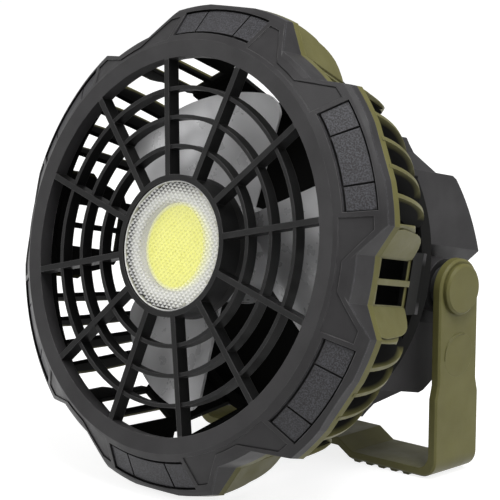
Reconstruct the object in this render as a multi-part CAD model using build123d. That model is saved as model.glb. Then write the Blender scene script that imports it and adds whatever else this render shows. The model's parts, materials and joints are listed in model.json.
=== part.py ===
from build123d import *
import os
from math import atan, cos, degrees, radians, sin

# Portable camping fan: a lobed fan head with a lamp in the middle of its grille,
# hinged between the arms of a U-shaped stand.
# Millimetres. +Z up, the fan blows towards -Y, +X is on the right of someone facing the fan.
# The origin lies on the floor, under the middle of the tilt axis.

# ---------------------------------------------------------------- driving dimensions
# Head. Its own frame has z = 0 at the front lip, +z along the air stream and y up.
OUTLET_R = 80.0             # clear radius inside the front lip
BAND_W = 7.0                # smooth band round the lip
LOBE_W = 17.0               # from the smooth band out to the outer radius of the six lobes
LOBE_SETBACK = 12.0         # front edge of a lobe behind the lip
RECESS_W = 7.4              # from the smooth band out to the outer radius between two lobes
LOBES = 6
LOBE_HALF_TOP = 17.3        # half angle of a lobe at its outer radius, degrees
LOBE_HALF_FOOT = 24.0       # half angle where its flanks meet the recess radius, degrees
EDGE_BREAK = 1.6            # sloping break along the lobes' and recesses' front edges
BEZEL_D = 18.0              # depth of the front moulding behind the lip
LIP_D = 6.5                 # depth of the wall inside the lip
HEAD_TILT = 12.7            # backward lean of the head at rest, degrees

# Pads sunk into every lobe
POCKET_MARGIN = 3.0         # from the smooth band to the pocket
POCKET_RIM = 1.0            # from the pocket to the lobe's front edge
POCKET_D = 2.4
POCKET_ARC = 27.6           # degrees
PAD_PROUD = 1.4             # height of the pads over the pocket's floor
PAD_GAP = 0.9               # grooves round the pads
PAD_SHARES = (0.24, 0.5, 0.26)
STRIP_D = 0.6               # shallow strips from pocket to pocket, past every recess
STRIP_INNER = 1.5           # from the smooth band to a strip
STRIP_OUTER = 2.6           # from a strip to the front edge of recess and lobe
STRIP_END = 1.3             # degrees between a strip and the pocket
STRIP_FLANK = 1.7           # degrees between a strip and the lobe's flank

# Grille
SPOKES = 12
SPOKE_W = 2.6
SPOKE_D = 6.2
RIB_RINGS = (42.0, 54.4, 66.8)
RIB_T = 1.7
RIB_SETBACK = 0.7           # rings lie this far behind the spokes' front faces
HUB_R = 30.0
HUB_FORWARD = 1.8           # the hub's rim stands this far in front of the lip
HUB_D = 11.0

# Lamp
HUB_WALL = 2.5
LENS_T = 1.8
LENS_SINK = 0.6             # the lens lies this far behind the hub's rim
LEDGE_W = 1.3
REFLECTOR_T = 2.4
REFLECTOR_FIT = 0.4         # from the light-giving disc to the sloping ring
REFLECTOR_RIM = 1.2         # level edge of the sloping ring, next to the lens
LED_BOARD_T = 1.4
PHOSPHOR_R = 18.7
PHOSPHOR_T = 0.9
CUP_WALL = 2.0
CUP_D = 12.0

# Louvre cage behind the front moulding
FLANGE_T = 3.4
FLANGE_BORE_W = 5.0         # from the smooth band's radius out to the flange's bore
CAGE_BACK = 76.5            # depth of the fins' rear ends behind the lip
CAGE_STEP = 0.7             # the fins' rear ends lie this far inside the housing's rim
FIN_STEP = 0.4              # fins and recess panels start this far inside the flange's outline
FIN_BULGE = 5.5             # how far the fins' outer edges bow out
FIN_W = 8.0                 # radial width of a fin at the flange
FIN_T = 1.8
FINS = 4                    # fins of a lobe
FIN_PITCH = 6.7             # degrees
CAGE_RING_T = 2.5           # rear ring, radially
CAGE_RING_D = 5.0           # rear ring, along the axis
CAGE_SPIGOT = 2.5           # how far the rear ring reaches into the housing
CHANNEL_WALL = 2.3
CHANNEL_LEAN = 0.266        # how far the recess panels lean in for each millimetre of depth
FLANK_BACK = 41.3           # depth of the flanks' rear ends
FLANK_CORNER_R = 7.0
FLANK_FOOT = 1.7            # height of the low flanks behind that, over the panel
WINDOW_START = 3.0          # windows behind the flange
WINDOW_D = 26.0             # windows along the axis
WINDOW_EDGE = 0.5           # from the windows to the flanks
WINDOW_BAR = 2.5
WINDOW_BAR_PROUD = 0.5

# Rotor
ROTOR_R = 70.0
ROTOR_HUB_R = 21.0
LAMP_GAP = 5.8              # from the lamp's cup to the blades' front edges
BLADES = 3
BLADE_T = 1.5
BLADE_CAMBER = 3.0
BLADE_ROOT_ANGLES = (60.0, -30.0)   # front and rear edge at the hub, degrees
BLADE_TIP_ANGLES = (36.0, -34.0)
BLADE_CORNER_R = 9.0
BLADE_PHASE = -3.0          # angle of the first blade at rest, degrees
ROTOR_WALL = 2.0
ROTOR_NOSE = 1.0            # the rotor's hub starts this far in front of the blades
ROTOR_TAIL = 2.0            # and ends this far behind them
DOME_D = 5.0                # depth of the hub's rounded nose
DOME_STEP = 2.0
SHAFT_R = 1.5

# Motor
MOTOR_R = 15.0
MOTOR_GAP = 8.0             # from the blades' rear edges to the motor
MOTOR_REACH = 1.4           # how far the motor stands out behind the wall that carries it
MOTOR_L = 30.0
MOTOR_NOSE_R = 8.0
MOTOR_STEP = 2.0
BEARING_R = 4.0
BEARING_L = 4.0
MOUNT_T = 2.0
MOUNT_R = 23.0

# Rear housing
HOUSING_R = 72.0            # round rim behind the louvre cage
HOUSING_RIM_D = 4.0
HOUSING_WALL = 2.6
TONGUE_HALF_W = 13.0        # walls from the rim to the recess panels
BULKHEAD_GAP = 1.0          # from the cage's rear ring to the wall behind it
BLOCK_HALF_W = 57.0
BLOCK_HALF_H = 47.7
RAISED_HALF_W = 50.0        # raised middle of the housing, above and below the block
RAISED_HALF_H = 60.5
RAISED_BREAK = 2.5
RAISED_D = 6.2              # depth of its level top
RAISED_SLOPE = 12.3         # length of its rear slope, down to the block
BLOCK_EDGE_D = 3.0          # small slope where the block's top and bottom end
BLOCK_EDGE_H = 1.3
BLOCK_REAR_L = 27.0         # from there to the rear face
REAR_BOW = 1.8              # how far the block's rear slopes bow out
PANEL_HALF_W = 44.0
PANEL_HALF_H = 15.0
PANEL_T = 3.0
PANEL_LEDGE = 1.6
SIDE_SINK = 6.0             # depth of the long sink in each side of the block
SIDE_SINK_TOP = 17.0        # half height of the sink at the surface
SIDE_SINK_FOOT = 11.0

# Tilt joint and stand
PIVOT_REACH = 11.5          # from the cells' axes back to the tilt axis
BOSS_R = 12.0
BOSS_PROUD = 5.5            # how far the bosses stand out from the block
WASHER_R = 9.0
WASHER_T = 4.9
BOLT_R = 3.0
BOLT_HEAD_R = 6.4
BOLT_HEAD_T = 2.2
BOLT_REACH = 1.2            # how far a bolt's end stands out of its nut
NUT_T = 4.0
NUT_FLATS = 10.0
ARM_T = 4.0
ARM_W = 26.0
FOOT_W = 29.0
FOOT_FLARE_TOP = 42.0       # height where the arms begin to widen
FOOT_FLARE_H = 6.0
CROSSBAR_T = 3.6
BEND_R = 8.0                # outside of the bend between arm and crossbar
BEND_INNER_R = 6.5
ARM_EDGE = 0.8              # small slope along the arms' outer edges
CAP_R = 11.1
CAP_PROUD = 2.6
CAP_EDGE = 1.0
DIMPLE_R = 9.6              # thumb dimple, deep at its upper front edge and level at the other
DIMPLE_D = 1.1
DIMPLE_DROP = 29.0          # below the tilt axis
RAISE_H = 5.0               # how far the crossbar's middle is raised
RAISE_HALF = 16.0
RAISE_RAMP = 8.0
TREAD_H = 0.9
TREAD_W = 4.2
TREAD_PITCH = 7.0
TREADS = 5
TREAD_START = 0.6           # from the raised middle's ramp to the first tread
TREAD_ROOT = 0.8            # how far a tread reaches up into the crossbar
FLOOR_GAP = 0.1             # under the head's lowest lobe

# Batteries and board
CELL_R = 9.2
CELL_L = 65.0
CELLS = 4
CELL_GAP = 1.2
CELL_SPARE = 2.2            # from the wall behind the cage to the cells
CRADLE_SIDE = 8.4           # from the battery space's side walls to the cradle
CRADLE_T = 2.0
CRADLE_SPARE = 1.8          # from the cradle to where the block's top ends
POST_W = 5.0
BOARD_W = 84.0
BOARD_H = 40.0
BOARD_T = 1.6
BOARD_SETBACK = 10.0        # from the rear panel's inner face
SWITCH_HALF = 3.0

# Controls on the rear panel
BUTTON_R = 6.5
BUTTON_PROUD = 1.6
BUTTON_TRAVEL = 1.0
BUTTON_X = 32.0
BUTTON_FLANGE = 1.2
BUTTON_FLANGE_T = 1.0
GAUGE_W = 26.0
GAUGE_H = 4.0
GAUGE_Y = 8.6
FLAP_W = 38.0
FLAP_H = 12.0
FLAP_T = 1.6
FLAP_Y = -4.4
USB_C = (9.0, 3.3)
USB_A = (13.2, 5.8)
USB_X = 9.0
SOCKET_WALL = 0.4

# Fits
SHAFT_FIT = 0.04            # radial clearance of turning shafts
SLIDE_FIT = 0.3             # clearance round parts that slide or lift
SEAT_FIT = 0.1              # clearance round parts that sit in a recess

# ---------------------------------------------------------------- derived places
LOBE_STEP = 360.0 / LOBES
LOBE_ANGLES = [90.0 + i * LOBE_STEP for i in range(LOBES)]
RECESS_ANGLES = [i * LOBE_STEP for i in range(LOBES)]
SPOKE_ANGLES = [15.0 + i * 360.0 / SPOKES for i in range(SPOKES)]
BAND_R = OUTLET_R + BAND_W
LOBE_R = BAND_R + LOBE_W
RECESS_R = BAND_R + RECESS_W
FLANGE_BORE_R = BAND_R + FLANGE_BORE_W
FIN_R = LOBE_R - FIN_STEP
FLANGE_BACK = BEZEL_D + FLANGE_T
CAGE_REAR_R = HOUSING_R - CAGE_STEP
CHANNEL_BACK = FLANGE_BACK + WINDOW_START + WINDOW_D + WINDOW_BAR
BULKHEAD_D = CAGE_BACK + CAGE_SPIGOT + BULKHEAD_GAP
STORE_FRONT = BULKHEAD_D + HOUSING_WALL
CELL_D = STORE_FRONT + CELL_SPARE + CELL_R
BLOCK_TOP_D = CELL_D + CELL_R + CRADLE_T + CRADLE_SPARE
BLOCK_BACK = BLOCK_TOP_D + BLOCK_REAR_L
PIVOT_BACK = CELL_D + PIVOT_REACH
MOTOR_FRONT = STORE_FRONT + MOTOR_REACH - MOTOR_L
ROTOR_FRONT = HUB_D - HUB_FORWARD + CUP_D + LAMP_GAP
ROTOR_REAR = MOTOR_FRONT - MOTOR_GAP
LOBE_FRONT_R = LOBE_R - EDGE_BREAK
FACE_DROP = LOBE_SETBACK / (LOBE_FRONT_R - BAND_R)
RECESS_FRONT_R = RECESS_R - EDGE_BREAK
PANEL_FRONT = BLOCK_BACK - PANEL_T
BOARD_BACK = PANEL_FRONT - BOARD_SETBACK
SINK_X = BLOCK_HALF_W - SIDE_SINK
STORE_HALF_W = SINK_X - HOUSING_WALL
CRADLE_HALF_W = STORE_HALF_W - CRADLE_SIDE
LENS_R = HUB_R - HUB_WALL
BOSS_END = BLOCK_HALF_W + BOSS_PROUD
ARM_GAP = BOSS_END + WASHER_T + SEAT_FIT
STORE_HALF_H = BLOCK_HALF_H - HOUSING_WALL
LOBE_DROP = LOBE_R * cos(radians(HEAD_TILT)) - (PIVOT_BACK - FLANGE_BACK) * sin(radians(HEAD_TILT))
PIVOT_H = FLOOR_GAP + LOBE_DROP
LIP_FORWARD = PIVOT_BACK * cos(radians(HEAD_TILT))
LIP_RISE = PIVOT_BACK * sin(radians(HEAD_TILT))
HEAD = Plane(
    origin=(0, -LIP_FORWARD, PIVOT_H + LIP_RISE),
    x_dir=(1, 0, 0),
    z_dir=(0, -cos(radians(HEAD_TILT)), sin(radians(HEAD_TILT))),
).location


# ---------------------------------------------------------------- helpers
def turned(points, arc=360.0, middle=0.0):
    """Solid turned about z from (radius, z) points, over an arc centred on an angle."""
    profile = make_face(Plane.XZ * Polyline(*points, close=True))
    return Rot(Z=middle - arc / 2) * revolve(profile, Axis.Z, arc)


def tube(outer, inner, low, high):
    """Straight ring between two heights."""
    return turned([(inner, low), (outer, low), (outer, high), (inner, high)])


def disc(radius, low, high):
    """Plain cylinder between two heights."""
    return Pos(0, 0, (low + high) / 2) * Cylinder(radius, high - low)


def radial(points, width, angle):
    """Flat web of (radius, z) outline standing on a radius."""
    profile = make_face(Plane.XZ * Polyline(*points, close=True))
    return Rot(Z=angle) * extrude(profile, amount=width / 2, both=True)


def polar(radius, angle, height=0.0):
    """Point at an angle about z."""
    return (radius * cos(radians(angle)), radius * sin(radians(angle)), height)


def flank_point(angle_at_top, angle_at_foot, share):
    """Point on a straight flank line: share 0 at the recess radius, 1 at the lobes' outer radius."""
    foot = Vector(*polar(RECESS_R, angle_at_foot))
    top = Vector(*polar(LOBE_R, angle_at_top))
    spot = foot + (top - foot) * share
    return (spot.X, spot.Y)


def wedge(low, high, middle, half_top=LOBE_HALF_TOP, half_foot=LOBE_HALF_FOOT):
    """Prism between two straight flanks, over a lobe unless other half angles are given."""
    right = [flank_point(half_top, half_foot, share) for share in (-0.6, 1.3)]
    left = [(x, -y) for x, y in reversed(right)]
    outline = make_face(Polyline(*right, *left, close=True))
    return Rot(Z=middle) * Pos(0, 0, low) * extrude(outline, amount=high - low)


def lobed(recess_form, lobe_form, low, high):
    """Round form with a wider form added at every lobe."""
    return recess_form + [lobe_form & wedge(low, high, angle) for angle in LOBE_ANGLES]


def face_depth(radius):
    """Depth of a lobe's sloping face at a radius."""
    return (radius - BAND_R) * FACE_DROP


def face_slab(inner_r, outer_r, top, bottom, arc, middle):
    """Layer that follows the lobes' sloping face between two depths under it."""
    points = [
        (inner_r, -face_depth(inner_r) - top),
        (outer_r, -face_depth(outer_r) - top),
        (outer_r, -face_depth(outer_r) - bottom),
        (inner_r, -face_depth(inner_r) - bottom),
    ]
    return turned(points, arc, middle)


def sunk(shape, depth):
    """Place a shape at a depth behind the lip."""
    return Pos(0, 0, -depth) * shape


# ---------------------------------------------------------------- front moulding
def lobe_pocket(middle):
    """Pocket with three raised pads, to cut out of a lobe."""
    inner_r = BAND_R + POCKET_MARGIN
    outer_r = LOBE_FRONT_R - POCKET_RIM
    pocket = face_slab(inner_r, outer_r, -1, POCKET_D, POCKET_ARC, middle)
    gap_arc = degrees(PAD_GAP / LOBE_R)
    start = middle - POCKET_ARC / 2
    for share in PAD_SHARES:
        arc = POCKET_ARC * share
        pad = face_slab(
            inner_r + PAD_GAP,
            outer_r - PAD_GAP,
            POCKET_D - PAD_PROUD,
            POCKET_D + 1,
            arc - gap_arc,
            start + arc / 2,
        )
        pocket -= pad
        start += arc
    return pocket


def recess_strip(angle):
    """Shallow strip, to cut along a recess from one pocket to the next."""
    arc = LOBE_STEP - POCKET_ARC - 2 * STRIP_END
    strip = face_slab(BAND_R + STRIP_INNER, LOBE_FRONT_R - STRIP_OUTER, -1, STRIP_D, arc, angle)
    half_top = LOBE_STEP / 2 - LOBE_HALF_TOP + STRIP_FLANK
    half_foot = LOBE_STEP / 2 - LOBE_HALF_FOOT + STRIP_FLANK
    notch = tube(LOBE_R, RECESS_FRONT_R - STRIP_OUTER, -BEZEL_D, BEZEL_D)
    return strip - (notch & wedge(-BEZEL_D, BEZEL_D, angle, half_top, half_foot))


def bezel_form(outer_r, front_r):
    """Turned moulding whose sloping face runs out to a radius."""
    front = -face_depth(front_r)
    return turned(
        [
            (OUTLET_R, -LIP_D),
            (OUTLET_R, 0),
            (BAND_R, 0),
            (front_r, front),
            (outer_r, front - EDGE_BREAK),
            (outer_r, -BEZEL_D),
            (FLANGE_BORE_R, -BEZEL_D),
        ]
    )


def bezel():
    """Lobed front ring with the pads' pockets, open towards the air space."""
    recess_form = bezel_form(RECESS_R, RECESS_FRONT_R)
    lobe_form = bezel_form(LOBE_R, LOBE_FRONT_R)
    ring = lobed(recess_form, lobe_form, -BEZEL_D, 0)
    ring -= [lobe_pocket(angle) for angle in LOBE_ANGLES]
    return ring - [recess_strip(angle) for angle in RECESS_ANGLES]


def spoke_line(radius):
    """Height of the spokes' front faces at a radius: level with the lip, rising to the hub."""
    return HUB_FORWARD * (OUTLET_R - radius) / (OUTLET_R - HUB_R)


def spoke(angle):
    """One deep, narrow spoke."""
    inner_r = HUB_R - 1
    outer_r = OUTLET_R + 1
    front = [(inner_r, spoke_line(inner_r)), (outer_r, spoke_line(outer_r))]
    back = [(outer_r, spoke_line(outer_r) - SPOKE_D), (inner_r, spoke_line(inner_r) - SPOKE_D)]
    return radial(front + back, SPOKE_W, angle)


def front_grille():
    """Front moulding in one piece: lobed ring, spokes, rib rings and the lamp's hub."""
    grille = bezel()
    hub = tube(HUB_R, LENS_R + SEAT_FIT, HUB_FORWARD - HUB_D, HUB_FORWARD)
    ledge_top = lens_back()
    hub += tube(LENS_R + 1, LENS_R - LEDGE_W, ledge_top - LEDGE_W, ledge_top)
    ribs = [spoke(angle) for angle in SPOKE_ANGLES]
    for radius in RIB_RINGS:
        front = spoke_line(radius) - RIB_SETBACK
        ribs.append(tube(radius + RIB_T / 2, radius - RIB_T / 2, front - SPOKE_D + RIB_SETBACK, front))
    return grille + hub + ribs


# ---------------------------------------------------------------- lamp
def lens_back():
    """Height of the lens's rear face."""
    return HUB_FORWARD - LENS_SINK - LENS_T


def lamp_lens():
    """Round cover lens with a chamfered rim."""
    lens = disc(LENS_R, lens_back(), lens_back() + LENS_T)
    return chamfer(lens.edges().group_by(Axis.Z)[-1], 0.4)


def lamp_reflector():
    """Sloping ring between the lens and the light source."""
    top = lens_back() - LEDGE_W
    foot = top - REFLECTOR_T
    inner_r = PHOSPHOR_R + REFLECTOR_FIT
    slope = [(LENS_R - REFLECTOR_RIM, top), (inner_r, foot + REFLECTOR_FIT)]
    return turned([(LENS_R, foot), (LENS_R, top), *slope, (inner_r, foot)])


def led_board():
    """Round board that carries the light source."""
    top = lens_back() - LEDGE_W - REFLECTOR_T
    return disc(LENS_R, top - LED_BOARD_T, top)


def led_phosphor():
    """Light-giving disc on the board."""
    foot = lens_back() - LEDGE_W - REFLECTOR_T
    return disc(PHOSPHOR_R, foot, foot + PHOSPHOR_T)


def lamp_cup():
    """Cup that closes the hub from behind and presses the lamp's parts against the ledge."""
    seat = HUB_FORWARD - HUB_D
    board_back = lens_back() - LEDGE_W - REFLECTOR_T - LED_BOARD_T
    spigot = tube(LENS_R, LENS_R - CUP_WALL, seat - 1, board_back)
    floor_z = seat - CUP_D
    taper_r = HUB_R * 0.66
    cup = turned([(0, floor_z), (taper_r, floor_z), (HUB_R, seat - 4), (HUB_R, seat), (0, seat)])
    hollow_r = LENS_R - CUP_WALL
    cup -= turned([(0, floor_z + CUP_WALL), (taper_r - CUP_WALL, floor_z + CUP_WALL), (hollow_r, seat - 4),
                   (hollow_r, seat), (0, seat)])
    return cup + spigot


# ---------------------------------------------------------------- louvre cage
def cage_curve():
    """Bowed outer edge of the cage, from the flange to the fins' rear ends."""
    return SagittaArc((FIN_R, -FLANGE_BACK), (CAGE_REAR_R, -CAGE_BACK), FIN_BULGE)


def cage_face(inner_front, inner_rear, root):
    """Half section between the bowed outer edge and a straight inner edge, rooted in the flange."""
    root_z = -FLANGE_BACK + root
    rest = Polyline(
        (CAGE_REAR_R, -CAGE_BACK),
        (inner_rear, -CAGE_BACK),
        (inner_front, root_z),
        (FIN_R, root_z),
        (FIN_R, -FLANGE_BACK),
    )
    return make_face(Plane.XZ * (cage_curve() + rest))


def fin(angle):
    """One louvre fin standing on a radius."""
    outline = cage_face(LOBE_R - FIN_W, spigot_radius() - CAGE_RING_T, FLANGE_T / 2)
    return Rot(Z=angle) * extrude(outline, amount=FIN_T / 2, both=True)


def spigot_radius():
    """Outer radius of the cage's rear ring, which plugs into the rear housing."""
    return HOUSING_R - HOUSING_WALL - SEAT_FIT


def recess_channel():
    """Leaning panel with two windows between the flanks of two neighbouring lobes."""
    half_step = LOBE_STEP / 2
    top_angle = half_step - LOBE_HALF_TOP
    foot_angle = half_step - LOBE_HALF_FOOT
    spots = [flank_point(top_angle, foot_angle, share) for share in (1.1, 0)]
    corners = [(x - FIN_STEP, y) for x, y in spots]
    outer_chain = corners + [(x, -y) for x, y in reversed(corners)]
    inner_chain = [(x - CHANNEL_WALL, y) for x, y in reversed(outer_chain)]
    section = make_face(Polyline(*outer_chain, *inner_chain, close=True))
    root = FLANGE_T / 2
    depth = CHANNEL_BACK - FLANGE_BACK + root
    slope = Vector(-CHANNEL_LEAN * depth, 0, -depth)
    channel = Pos(0, 0, -FLANGE_BACK + root) * extrude(section, amount=slope.length, dir=slope)
    panel_x, panel_y = corners[1]
    window_h = 2 * (panel_y - WINDOW_EDGE)
    window_z = -FLANGE_BACK - WINDOW_START - WINDOW_D / 2
    lean_x = panel_x - CHANNEL_LEAN * (WINDOW_START + WINDOW_D / 2)
    channel -= Pos(lean_x, 0, window_z) * Box(5 * CHANNEL_WALL + CHANNEL_LEAN * WINDOW_D, window_h, WINDOW_D)
    bar_depth = WINDOW_START + WINDOW_D + WINDOW_BAR
    bar_front = [(panel_x + WINDOW_BAR_PROUD, -FLANGE_BACK), (panel_x - CHANNEL_WALL, -FLANGE_BACK)]
    bar_rear = [(x - CHANNEL_LEAN * bar_depth, z - bar_depth) for x, z in reversed(bar_front)]
    return channel + radial(bar_front + bar_rear, WINDOW_BAR, 0)


def channel_x(depth):
    """Distance of the recess panels' outer faces from the axis, at a depth behind the lip."""
    return RECESS_R * cos(radians(LOBE_STEP / 2 - LOBE_HALF_FOOT)) - CHANNEL_LEAN * (depth - FLANGE_BACK)


def channel_room():
    """Turned form that trims the recess channels: high flanks with a rounded corner, then low ones."""
    front_part = Plane.XZ * Pos(0, -FLANK_BACK / 2) * Rectangle(3 * LOBE_R, FLANK_BACK)
    high = cage_face(0, 0, FLANGE_T / 2) & front_part
    high = fillet(high.vertices().group_by(Axis.Z)[0].sort_by(Axis.X)[-1], FLANK_CORNER_R)
    front = (channel_x(FLANK_BACK) + FLANK_FOOT, -FLANK_BACK)
    rear = (channel_x(CHANNEL_BACK) + FLANK_FOOT, -CHANNEL_BACK)
    low = make_face(Plane.XZ * Polyline((0, -FLANK_BACK), front, rear, (0, -CHANNEL_BACK), close=True))
    return revolve(high + low, Axis.Z)


def louvre_cage():
    """Side cage: lobed flange, fins and windows all round, and a plain rear ring."""
    flange = lobed(
        disc(RECESS_R, -FLANGE_BACK, -BEZEL_D),
        disc(LOBE_R, -FLANGE_BACK, -BEZEL_D),
        -FLANGE_BACK,
        -BEZEL_D,
    )
    flange -= disc(FLANGE_BORE_R, -FLANGE_BACK, -BEZEL_D)
    ring_r = spigot_radius()
    ring_rear = -CAGE_BACK - CAGE_SPIGOT
    ring = tube(ring_r, ring_r - CAGE_RING_T, ring_rear, ring_rear + CAGE_RING_D)
    channel = recess_channel() & channel_room()
    channels = [Rot(Z=angle) * channel for angle in RECESS_ANGLES]
    offsets = [FIN_PITCH * (index - (FINS - 1) / 2) for index in range(FINS)]
    fins = [fin(angle + offset) for angle in LOBE_ANGLES for offset in offsets]
    return flange + ring + channels + fins


# ---------------------------------------------------------------- rotor and motor
def blade_edge(radius, front_angle, rear_angle):
    """Bowed line across a blade at a radius, from its front edge to its rear edge."""
    middle = (front_angle + rear_angle) / 2
    middle_z = -(ROTOR_FRONT + ROTOR_REAR) / 2 + BLADE_CAMBER
    return ThreePointArc(
        polar(radius, front_angle, -ROTOR_FRONT),
        polar(radius, middle, middle_z),
        polar(radius, rear_angle, -ROTOR_REAR),
    )


def blade():
    """One broad twisted blade, its outline rounded at the outer corners."""
    root = blade_edge(ROTOR_HUB_R - 2, *BLADE_ROOT_ANGLES)
    tip = blade_edge(ROTOR_R + 2, *BLADE_TIP_ANGLES)
    sheet = thicken(Face.make_surface_from_curves(root, tip), amount=BLADE_T / 2, both=True)
    corners = [
        polar(ROTOR_HUB_R - 4, BLADE_ROOT_ANGLES[0]),
        polar(ROTOR_R, BLADE_TIP_ANGLES[0]),
        polar(ROTOR_R, BLADE_TIP_ANGLES[1]),
        polar(ROTOR_HUB_R - 4, BLADE_ROOT_ANGLES[1]),
    ]
    tip_middle = polar(ROTOR_R, sum(BLADE_TIP_ANGLES) / 2)
    outline = make_face(
        Polyline(corners[2], corners[3], corners[0], corners[1])
        + ThreePointArc(corners[1], tip_middle, corners[2])
    )
    tips = outline.vertices().filter_by(lambda v: Vector(v.X, v.Y).length > ROTOR_R - 1)
    trimmer = extrude(fillet(tips, BLADE_CORNER_R), amount=2 * ROTOR_REAR)
    return sheet & sunk(trimmer, 2 * ROTOR_REAR)


def fan_rotor():
    """Hub with a domed nose and three blades, bored for the motor's shaft."""
    nose = ROTOR_FRONT - ROTOR_NOSE
    rear = ROTOR_REAR + ROTOR_TAIL
    inner_r = ROTOR_HUB_R - ROTOR_WALL
    stem_r = SHAFT_R + 1.5 * ROTOR_WALL
    hub = turned(
        [
            (0, -nose),
            (ROTOR_HUB_R * 0.55, -nose),
            (ROTOR_HUB_R * 0.9, -nose - DOME_STEP),
            (ROTOR_HUB_R, -nose - DOME_D),
            (ROTOR_HUB_R, -rear),
            (inner_r, -rear),
            (inner_r, -nose - DOME_STEP - 2 * ROTOR_WALL),
            (stem_r, -nose - 2 * ROTOR_WALL),
            (stem_r, -rear),
            (0, -rear),
        ]
    )
    blade_form = blade() - disc(ROTOR_HUB_R - ROTOR_WALL / 2, -2 * rear, 0)
    for index in range(BLADES):
        hub += Rot(Z=BLADE_PHASE + index * 360.0 / BLADES) * blade_form
    return hub - disc(SHAFT_R, -rear - 1, -nose - 1.5 * ROTOR_WALL)


def motor_shaft():
    """Shaft that carries the rotor and turns in the motor's two bearings."""
    front = -ROTOR_FRONT + ROTOR_NOSE - 1.5 * ROTOR_WALL - 2 * SEAT_FIT
    return disc(SHAFT_R, -MOTOR_FRONT - MOTOR_L - 1, front)


def motor_bearings():
    """A bush in each end of the motor."""
    bush = tube(BEARING_R, SHAFT_R + SHAFT_FIT, 0, BEARING_L)
    return [sunk(bush, MOTOR_FRONT + BEARING_L), sunk(bush, MOTOR_FRONT + MOTOR_L)]


def motor_can():
    """Motor body with a stepped nose, hollow round the shaft."""
    front = -MOTOR_FRONT
    rear = -MOTOR_FRONT - MOTOR_L
    can = disc(MOTOR_R, rear, front - MOTOR_STEP) + disc(MOTOR_NOSE_R, rear, front)
    can -= disc(BEARING_R, rear, rear + BEARING_L)
    can -= disc(BEARING_R, front - BEARING_L, front)
    return can - disc(SHAFT_R + 1, rear, front)


def motor_mount():
    """Plate on the bulkhead with a collar and lip that hold the motor."""
    seat = -BULKHEAD_D
    bore_r = MOTOR_R + SEAT_FIT
    collar_r = MOTOR_R + MOUNT_T
    lip = -MOTOR_FRONT - MOTOR_STEP
    return turned(
        [
            (bore_r, seat),
            (MOUNT_R, seat),
            (MOUNT_R, seat + MOUNT_T),
            (collar_r, seat + MOUNT_T),
            (collar_r, lip + MOUNT_T),
            (MOTOR_NOSE_R + SEAT_FIT, lip + MOUNT_T),
            (MOTOR_NOSE_R + SEAT_FIT, lip + SEAT_FIT),
            (bore_r, lip + SEAT_FIT),
        ]
    )


# ---------------------------------------------------------------- rear housing
def block_profile():
    """Side view of the housing: raised middle, block and bowed rear slopes."""
    panel_edge = PANEL_HALF_H + PANEL_LEDGE
    raised_end = -CAGE_BACK - RAISED_D
    edge_end = (BLOCK_HALF_H - BLOCK_EDGE_H, -BLOCK_TOP_D - BLOCK_EDGE_D)
    slope = SagittaArc((panel_edge, -BLOCK_BACK), edge_end, -REAR_BOW)
    upper = [
        edge_end,
        (BLOCK_HALF_H, -BLOCK_TOP_D),
        (BLOCK_HALF_H, raised_end - RAISED_SLOPE),
        (RAISED_HALF_H - RAISED_BREAK, raised_end),
        (RAISED_HALF_H, raised_end + RAISED_BREAK),
        (RAISED_HALF_H, -CAGE_BACK),
    ]
    lower = [(-y, z) for y, z in reversed(upper)]
    rear = Line((-panel_edge, -BLOCK_BACK), (panel_edge, -BLOCK_BACK))
    return make_face(Plane.YZ * (rear + slope + Polyline(*upper, *lower) + mirror(slope, about=Plane.YZ)))


def block_section():
    """Rear view of the housing: the block with a narrower part above and below, joined by flares."""
    flare_top = BLOCK_HALF_H + BLOCK_HALF_W - RAISED_HALF_W
    right = [
        (RAISED_HALF_W, -RAISED_HALF_H),
        (RAISED_HALF_W, -flare_top),
        (BLOCK_HALF_W, -BLOCK_HALF_H),
        (BLOCK_HALF_W, BLOCK_HALF_H),
        (RAISED_HALF_W, flare_top),
        (RAISED_HALF_W, RAISED_HALF_H),
    ]
    return make_face(Polyline(*right, *[(-x, y) for x, y in reversed(right)], close=True))


def side_sink(side):
    """Long sink with sloping flanks in one side of the block, open to the rear."""
    outline = Polyline(
        (BLOCK_HALF_W, -SIDE_SINK_TOP),
        (SINK_X, -SIDE_SINK_FOOT),
        (SINK_X, SIDE_SINK_FOOT),
        (BLOCK_HALF_W, SIDE_SINK_TOP),
        (BLOCK_HALF_W + SIDE_SINK, SIDE_SINK_TOP),
        (BLOCK_HALF_W + SIDE_SINK, -SIDE_SINK_TOP),
        close=True,
    )
    sink = Pos(0, 0, -BLOCK_BACK) * extrude(make_face(outline), amount=BLOCK_BACK - BULKHEAD_D - HOUSING_WALL)
    return sink if side > 0 else mirror(sink, about=Plane.YZ)


def tongue(angle):
    """Leaning wall from the housing's rim to the rear end of a recess panel."""
    front_x = channel_x(CHANNEL_BACK)
    rear = -CAGE_BACK - HOUSING_RIM_D / 2
    points = [
        (front_x, -CHANNEL_BACK),
        (HOUSING_R, -CAGE_BACK),
        (HOUSING_R, rear),
        (HOUSING_R - HOUSING_WALL, rear),
        (HOUSING_R - HOUSING_WALL, -CAGE_BACK),
        (front_x - HOUSING_WALL, -CHANNEL_BACK),
    ]
    return radial(points, 2 * TONGUE_HALF_W, angle)


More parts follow.
